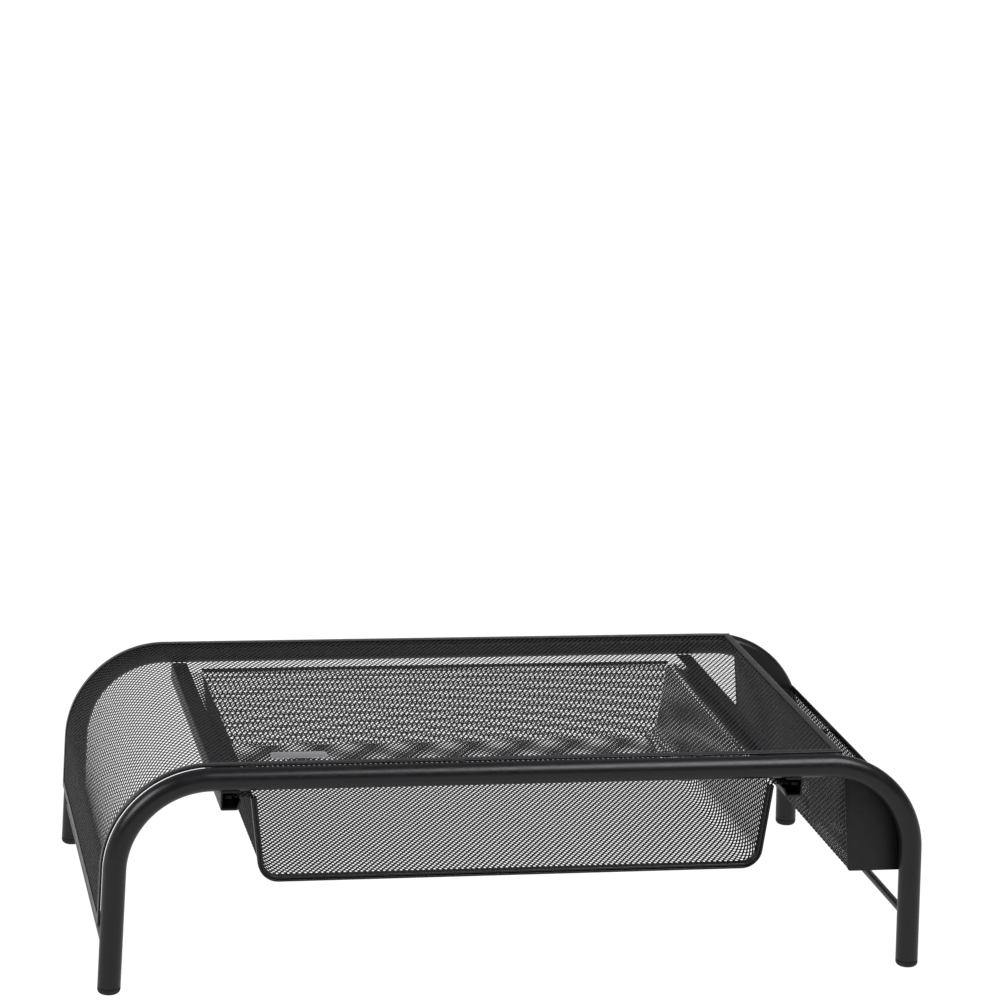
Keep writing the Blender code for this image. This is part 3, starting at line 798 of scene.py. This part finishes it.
def add_foot(name, side, y):
    """A cap turned about the leg: rounded at the bottom, with a plug that goes up the tube."""
    plug = TUBE_RADIUS - TUBE_WALL - GAP
    profile = []
    bottom = FOOT_BOTTOM_ROUNDING
    for angle in map(math.radians, FINE_QUARTER):
        radius = FOOT_RADIUS - bottom + bottom * math.sin(angle)
        profile.append((radius, bottom - bottom * math.cos(angle)))
    top = FOOT_TOP_ROUNDING
    for angle in map(math.radians, COARSE_QUARTER):
        radius = FOOT_RADIUS - top + top * math.cos(angle)
        profile.append((radius, FOOT_HEIGHT - top + top * math.sin(angle)))
    profile += [(plug, FOOT_HEIGHT), (plug, PLUG_TOP - PLUG_CHAMFER), (plug - PLUG_CHAMFER, PLUG_TOP)]
    across = (Vector((1, 0, 0)), Vector((0, 1, 0)))
    rings = []
    for radius, height in profile:
        middle = stand_point(side * leg_x(height), y, height)
        rings.append(circle(middle, *across, radius, TUBE_SIDES))
    piece(f"{name}_fine", loft(name, rings, smooth=SHARP_ON_FOOT), "foot_plastic", "stand", name)


def add_brace(name, side):
    x = side * (leg_x(BRACE_HEIGHT) + BRACE_OUTWARD)
    half = FRAME_SPACING / 2 - math.sqrt(TUBE_RADIUS**2 - (BRACE_OUTWARD - BRACE_RADIUS) ** 2)
    across = (Vector((1, 0, 0)), Vector((0, 0, 1)))
    middles = [stand_point(x, y, BRACE_HEIGHT) for y in (-half, half)]
    rings = [circle(middle, *across, BRACE_RADIUS, ROD_SIDES) for middle in middles]
    piece(f"{name}_fine", loft(name, rings), "frame_paint", "stand", name)


def add_long_edging(name, side):
    """The front or rear edging, which follows the panel round its bend."""
    section = []
    for inset, off in edging_section(EDGE_WIDTH):
        section.append((side * (PANEL_DEPTH / 2 - inset), off, inset + MITRE_GAP))
    piece(f"{name}_fine", swept(name, panel_path(), section), "frame_paint", "stand", name)


def add_end_edging(name, at_start):
    """The right or left edging, straight and mitred into the long ones."""
    path = panel_path()
    points, normals = path.at([0.0 if at_start else path.length])
    (x, z), (nx, nz) = points[0], normals[0]
    inward = 1 if at_start else -1
    rings = []
    for side in (-1, 1):
        ring = []
        for inset, off in edging_section(EDGE_WIDTH):
            slide = inward * inset
            y = side * (PANEL_DEPTH / 2 - inset - MITRE_GAP)
            ring.append(stand_point(x + nx * off + nz * slide, y, z + nz * off - nx * slide))
        rings.append(ring)
    piece(f"{name}_fine", loft(name, rings), "frame_paint", "stand", name)


def straight_rim(ends, inward, normal, width):
    """Rings of an edging between two points on a sheet's edge."""
    section = edging_section(width)
    return [[end + inward * inset + normal * off for inset, off in section] for end in ends]


def add_weld(name, x, side):
    """A bead of weld in the groove between the edging and the rail: an ellipsoid, a little uneven."""
    rows, sides = 12, 20
    blunt_end = 0.03
    unevenness = 0.08
    height = RAIL_HEIGHT + TUBE_RADIUS - WELD_SINK
    middle = stand_point(x, side * (PANEL_DEPTH / 2 + WELD_OUT), height)
    rings = []
    for i in range(rows + 1):
        along = -1 + 2 * i / rows
        swell = math.sqrt(max(1 - along * along, blunt_end))
        ring = []
        for k in range(sides):
            angle = math.tau * k / sides
            wobble = swell * (1 + unevenness * math.sin(3 * angle + 5 * along))
            out = WELD_HALF_DEPTH * math.cos(angle) * wobble
            up = WELD_HALF_HEIGHT * math.sin(angle) * wobble
            ring.append(middle + Vector((along * WELD_HALF_LENGTH, side * out, up)))
        rings.append(ring)
    piece(f"{name}_fine", loft(name, rings, smooth=SHARP_ON_WELD), "frame_paint", "stand", name)


def flat_plate(name, outline, thickness, bevel):
    """A plate from a closed 3D outline, pushed out by the vector thickness, with eased edges."""
    bm = bmesh.new()
    face = bm.faces.new([bm.verts.new(point) for point in outline])
    pushed = bmesh.ops.extrude_face_region(bm, geom=[face])
    moved = [item for item in pushed["geom"] if isinstance(item, bmesh.types.BMVert)]
    bmesh.ops.translate(bm, verts=moved, vec=thickness)
    bmesh.ops.recalc_face_normals(bm, faces=bm.faces)
    flats = [face for face in bm.faces if len(face.verts) > 4]
    edges = list({edge for face in flats for edge in face.edges})
    bmesh.ops.bevel(
        bm, geom=edges, offset=bevel, segments=2, affect="EDGES", profile=0.5, clamp_overlap=True
    )
    mesh = bpy.data.meshes.new(name)
    bm.to_mesh(mesh)
    bm.free()
    mesh.shade_smooth()
    mesh.set_sharp_from_angle(angle=math.radians(SHARP_ON_PLATE))
    return mesh


def add_name_plate():
    half_x, half_y = (size / 2 for size in PLATE_SIZE)
    x, y = PLATE_MIDDLE
    bottom = RAIL_HEIGHT + PANEL_LIFT + EDGE_THICKNESS / 2 - PLATE_HEIGHT
    corners = [(half_x, half_y), (-half_x, half_y), (-half_x, -half_y), (half_x, -half_y)]
    outline = rounded(corners, PLATE_CORNER, NAME_PLATE_STEPS)
    points = [stand_point(x + p.x, y + p.y, bottom) for p in outline]
    mesh = flat_plate("name_plate", points, Vector((0, 0, PLATE_HEIGHT)), PLATE_BEVEL)
    piece("name_plate_fine", mesh, "plate_metal", "stand", "name_plate_blank")


def extruded(name, outline, y_ends):
    rings = [[stand_point(x, y, z) for x, z in outline] for y in y_ends]
    return loft(name, rings)


def add_rail(name, side):
    """A C-shaped rail, open to the drawer, with a low lip that leans towards it."""
    wall = RAIL_WALL
    corners = [
        (RAIL_INNER, RAIL_TOP),
        (RAIL_INNER, RAIL_TOP - wall),
        (RAIL_OUTER - wall, RAIL_TOP - wall),
        (RAIL_OUTER - wall, RAIL_BOTTOM + wall),
        (RAIL_INNER + wall, RAIL_BOTTOM + wall),
        (RAIL_INNER + wall - RAIL_LIP_LEAN, RAIL_LIP_TOP),
        (RAIL_INNER - RAIL_LIP_LEAN, RAIL_LIP_TOP),
        (RAIL_INNER, RAIL_BOTTOM),
        (RAIL_OUTER, RAIL_BOTTOM),
        (RAIL_OUTER, RAIL_TOP),
    ]
    section = rounded_section(corners, [RAIL_EDGE_ROUNDING] * 7 + [RAIL_BEND_ROUNDING] * 3)
    outline = [(RAIL_MIDDLE + side * out, z) for out, z in section]
    mesh = extruded(name, outline, RAIL_ENDS)
    piece(f"{name}_fine", mesh, "frame_paint", "stand", name)


def add_drawer_front_rim():
    """Edging round the drawer's open front."""
    section = [(DRAWER_FRONT + inset, off, 0.0) for inset, off in front_rim_section()]
    path = Path(drawer_corners(DRAWER_TOP - FRONT_RIM_DROP), [DRAWER_CORNER] * 2)
    mesh = swept("drawer_front_rim", path, section)
    piece("drawer_front_rim_fine", mesh, "frame_paint", "drawer", "drawer_front_rim")


def add_drawer_rims():
    """Edging on the two flanges and on the rear wall."""
    front = DRAWER_FRONT + FRONT_RIM_WALL
    back = DRAWER_BACK - FLANGE_RIM_SETBACK
    for hand, side in (("left", -1), ("right", 1)):
        ends = [stand_point(RAIL_MIDDLE + side * FLANGE_EDGE, y, DRAWER_TOP) for y in (front, back)]
        rings = straight_rim(ends, Vector((-side, 0, 0)), Vector((0, 0, 1)), FLANGE_RIM_WIDTH)
        mesh = loft(f"drawer_{hand}_rim", rings)
        piece(f"drawer_{hand}_rim_fine", mesh, "frame_paint", "drawer", f"drawer_{hand}_rim")
    half = DRAWER_HALF_WIDTH + SHEET
    ends = [stand_point(RAIL_MIDDLE + side * half, DRAWER_BACK, REAR_RIM_TOP) for side in (-1, 1)]
    rings = straight_rim(ends, Vector((0, 0, -1)), Vector((0, 1, 0)), REAR_RIM_WIDTH)
    mesh = loft("drawer_rear_rim", rings)
    piece("drawer_rear_rim_fine", mesh, "frame_paint", "drawer", "drawer_rear_rim")


def add_runner(name, side):
    """A strip under a flange's edging, which hangs behind the rail's lip."""
    top = DRAWER_TOP - EDGE_THICKNESS / 2
    corners = [
        (RUNNER_INNER, top),
        (RUNNER_OUTER, top),
        (RUNNER_OUTER, RUNNER_BOTTOM),
        (RUNNER_INNER, RUNNER_BOTTOM),
    ]
    section = rounded_section(corners, [0.0, 0.0, RUNNER_ROUNDING, RUNNER_ROUNDING])
    outline = [(RAIL_MIDDLE + side * x, z) for x, z in section]
    mesh = extruded(name, outline, (DRAWER_FRONT + RUNNER_SETBACK, DRAWER_BACK))
    piece(f"{name}_fine", mesh, "frame_paint", "drawer", name)


def bend_middle():
    """The middle of the right-hand bend of a tube frame, as (x, z)."""
    height = RAIL_HEIGHT - BEND_RADIUS
    return leg_x(height) - BEND_RADIUS / math.cos(LEAN), height


def bin_outline():
    """The bin plate's outline as (x, z): round under the bend, straight at the sides and the bottom."""
    middle = bend_middle()
    left = bin_wall_x(BIN_BOTTOM) - SHEET
    right = BIN_OUTER + SHEET
    top_left = bin_wall_x(BIN_INNER_HEIGHT) - SHEET
    start = math.acos((top_left - middle[0]) / BIN_PLATE_RADIUS)
    end = math.acos((right - middle[0]) / BIN_PLATE_RADIUS)
    turns = [start + (end - start) * i / BIN_ARC_STEPS for i in range(BIN_ARC_STEPS + 1)]
    points = arc(middle, BIN_PLATE_RADIUS, turns)
    for corner, radius, first in (
        ((right - BIN_CORNER, BIN_BOTTOM + BIN_CORNER), BIN_CORNER, 0),
        ((left + BIN_PLATE_CORNER, BIN_BOTTOM + BIN_PLATE_CORNER), BIN_PLATE_CORNER, -90),
    ):
        points += arc(corner, radius, [math.radians(first - turn) for turn in FINE_QUARTER])
    return points


def add_bin_sheet(name, outline, y):
    """A solid sheet of the bin that stands across it, with its front at y."""
    points = [stand_point(x, y, z) for x, z in outline]
    mesh = flat_plate(name, points, Vector((0, BIN_PLATE, 0)), BIN_PLATE_BEVEL)
    piece(f"{name}_fine", mesh, "sheet_paint", "stand", name)


def divider_outline():
    clear = SHEET / 2 + GAP
    low = BIN_BOTTOM + SHEET + GAP + BIN_CORNER / 2
    right = BIN_OUTER - clear
    corners = [
        (bin_wall_x(low) + clear, low),
        (right, low),
        (right, DIVIDER_TOP),
        (bin_wall_x(DIVIDER_TOP) + clear, DIVIDER_TOP),
    ]
    return rounded(corners, [DIVIDER_CORNER] * 3 + [DIVIDER_INNER_CORNER], DIVIDER_STEPS)


def add_bin_rims():
    """Edging on top of the bin's inner and outer walls."""
    down = Vector((BIN_INNER_BOTTOM - BIN_INNER_TOP, 0, BIN_BOTTOM - BIN_INNER_HEIGHT)).normalized()
    for name, x, z, inward in (
        ("side_bin_inner_rim", BIN_INNER_TOP, BIN_INNER_HEIGHT, down),
        ("side_bin_outer_rim", BIN_OUTER, BIN_OUTER_HEIGHT, Vector((0, 0, -1))),
    ):
        ends = [stand_point(x, y, z) for y in (-BIN_HALF, BIN_HALF)]
        rings = straight_rim(ends, inward, Vector((-inward.z, 0, inward.x)), BIN_RIM_WIDTH)
        piece(f"{name}_fine", loft(name, rings), "frame_paint", "stand", name)


def add_stand():
    for end, side in (("front", -1), ("rear", 1)):
        add_tube_frame(f"{end}_tube_frame", side * FRAME_SPACING / 2)
    for end, y in (("front", -FRAME_SPACING / 2), ("rear", FRAME_SPACING / 2)):
        add_foot(f"{end}_left_foot_cap", -1, y)
        add_foot(f"{end}_right_foot_cap", 1, y)
    add_brace("left_brace_rod", -1)
    add_brace("right_brace_rod", 1)
    add_long_edging("front_edging", -1)
    add_long_edging("rear_edging", 1)
    add_end_edging("right_edging", True)
    add_end_edging("left_edging", False)
    for end, side in (("front", -1), ("rear", 1)):
        for number, x in enumerate(WELD_PLACES, 1):
            add_weld(f"{end}_weld_{number}", x, side)
    add_name_plate()
    add_rail("left_drawer_rail", -1)
    add_rail("right_drawer_rail", 1)
    margin = EDGE_WALL + GAP
    reach = PANEL_DEPTH / 2 - margin
    y_range = (-reach, reach)
    top = ("stand", "top_mesh_panel")
    mesh_strips("top_mesh", panel_path(), (margin, margin), y_range, 3, *top, TOP_TILT)


def add_drawer():
    add_drawer_front_rim()
    add_drawer_rims()
    add_runner("drawer_left_runner", -1)
    add_runner("drawer_right_runner", 1)
    y_range = (DRAWER_FRONT + FRONT_RIM_WALL + GAP, DRAWER_BACK)
    basket = ("drawer", "drawer_mesh_basket")
    margins = (0.0, 0.0)
    mesh_strips("drawer_mesh", drawer_path(), margins, y_range, 3, *basket, DRAWER_TILT, DRAWER_GAUGE)
    rear = drawer_rear_wall()
    piece(rear.name, rear, "mesh_paint", "drawer", "drawer_mesh_basket")


def add_bin():
    add_bin_sheet("side_bin_front_plate", bin_outline(), BIN_FRONT)
    add_bin_sheet("side_bin_rear_plate", bin_outline(), -BIN_FRONT - BIN_PLATE)
    for number, y in enumerate(DIVIDER_FRONTS, 1):
        add_bin_sheet(f"side_bin_divider_{number}", divider_outline(), y)
    add_bin_rims()
    y_range = (-BIN_HALF, BIN_HALF)
    wall = ("stand", "side_bin_mesh")
    mesh_strips("bin_mesh", bin_path(), (0.0, 0.0), y_range, 1, *wall, BIN_TILT, BIN_GAUGE)


def dress_kept_nodes():
    """The stops and ears keep their CAD shape and take the finished materials."""
    for name in ("left_rail_stop", "right_rail_stop"):
        dress(frame["nodes"][name], "stop_steel")
    for name in ("drawer_left_ear", "drawer_right_ear"):
        dress(frame["nodes"][name], "frame_paint")


def dress(obj, material):
    obj.data.materials.clear()
    obj.data.materials.append(MATERIALS[material])


# ---------------------------------------------------------------- surroundings


def camera_ray(tree):
    """1 for what the camera sees, and 0 for every other ray."""
    return tree.nodes.new("ShaderNodeLightPath").outputs["Is Camera Ray"]


def add_floor():
    """A white sweep, blown out to pure white for the camera and softer in what it lights."""
    mesh = bpy.data.meshes.new("floor")
    half = FLOOR_HALF
    corners = [(-half, -half), (half, -half), (half, half), (-half, half)]
    mesh.from_pydata([(x, y, -FLOOR_DROP) for x, y in corners], [], [(0, 1, 2, 3)])
    material, tree, shader = new_material("white_floor")
    shader.inputs["Base Color"].default_value = (0.02, 0.02, 0.02, 1.0)
    shader.inputs["Roughness"].default_value = 0.9
    shader.inputs["Specular IOR Level"].default_value = 0.0
    shader.inputs["Emission Color"].default_value = PURE_WHITE
    strength = ranged(tree, camera_ray(tree), FLOOR_LIGHT, SEEN_WHITE, 0.0, 1.0)
    tree.links.new(strength, shader.inputs["Emission Strength"])
    mesh.materials.append(material)
    floor = bpy.data.objects.new("floor", mesh)
    bpy.context.scene.collection.objects.link(floor)


def add_world():
    """White behind the stand, dark above it and on the camera's side. The camera sees plain white."""
    world = bpy.data.worlds.new("studio")
    bpy.context.scene.world = world
    world.use_nodes = True
    tree = world.node_tree
    ways = tree.nodes.new("ShaderNodeSeparateXYZ")
    tree.links.new(tree.nodes.new("ShaderNodeTexCoord").outputs["Generated"], ways.inputs[0])
    product = tree.nodes.new("ShaderNodeMath")
    product.operation = "MULTIPLY"
    behind = ranged(tree, ways.outputs["Y"], WORLD_FRONT, WORLD_BEHIND, *FRONT_TO_BEHIND)
    above = ranged(tree, ways.outputs["Z"], 1.0, WORLD_ABOVE, *LEVEL_TO_ABOVE)
    tree.links.new(behind, product.inputs[0])
    tree.links.new(above, product.inputs[1])
    lighting = tree.nodes["Background"]
    lighting.inputs["Color"].default_value = (*COOL_WHITE, 1.0)
    tree.links.new(product.outputs[0], lighting.inputs["Strength"])
    seen = tree.nodes.new("ShaderNodeBackground")
    seen.inputs["Color"].default_value = PURE_WHITE
    seen.inputs["Strength"].default_value = SEEN_WHITE
    mix = tree.nodes.new("ShaderNodeMixShader")
    tree.links.new(camera_ray(tree), mix.inputs[0])
    tree.links.new(lighting.outputs[0], mix.inputs[1])
    tree.links.new(seen.outputs[0], mix.inputs[2])
    tree.links.new(mix.outputs[0], tree.nodes["World Output"].inputs["Surface"])


def add_area_light(name, place, target, size, power):
    data = bpy.data.lights.new(name, "AREA")
    data.shape = "RECTANGLE"
    data.size, data.size_y = size
    data.energy = power
    data.color = COOL_WHITE
    light = bpy.data.objects.new(name, data)
    bpy.context.scene.collection.objects.link(light)
    light.location = place
    light.rotation_euler = (Vector(target) - Vector(place)).to_track_quat("-Z", "Y").to_euler()


def add_camera():
    yaw, pitch, roll = (math.radians(angle) for angle in CAMERA_TURN)
    ahead = Vector((math.sin(yaw) * math.cos(pitch), math.cos(yaw) * math.cos(pitch), -math.sin(pitch)))
    level = Vector((math.cos(yaw), -math.sin(yaw), 0))
    upright = level.cross(ahead)
    right = level * math.cos(roll) + upright * math.sin(roll)
    up = upright * math.cos(roll) - level * math.sin(roll)
    camera = bpy.data.objects.new("camera", bpy.data.cameras.new("camera"))
    bpy.context.scene.collection.objects.link(camera)
    camera.data.sensor_width = CAMERA_SENSOR
    camera.data.lens = CAMERA_LENS
    camera.data.clip_start = 0.05
    camera.data.clip_end = 100.0
    turn = Matrix((right, up, -ahead)).transposed().to_4x4()
    x, y, z = CAMERA_PLACE
    camera.matrix_world = Matrix.Translation((SHIFT + x, y, z)) @ turn
    bpy.context.scene.camera = camera


def main():
    add_stand()
    add_drawer()
    add_bin()
    dress_kept_nodes()
    add_floor()
    add_world()
    for light in AREA_LIGHTS:
        add_area_light(*light)
    add_camera()
    bpy.context.scene.view_settings.view_transform = "Standard"
    bpy.context.view_layer.update()


main()
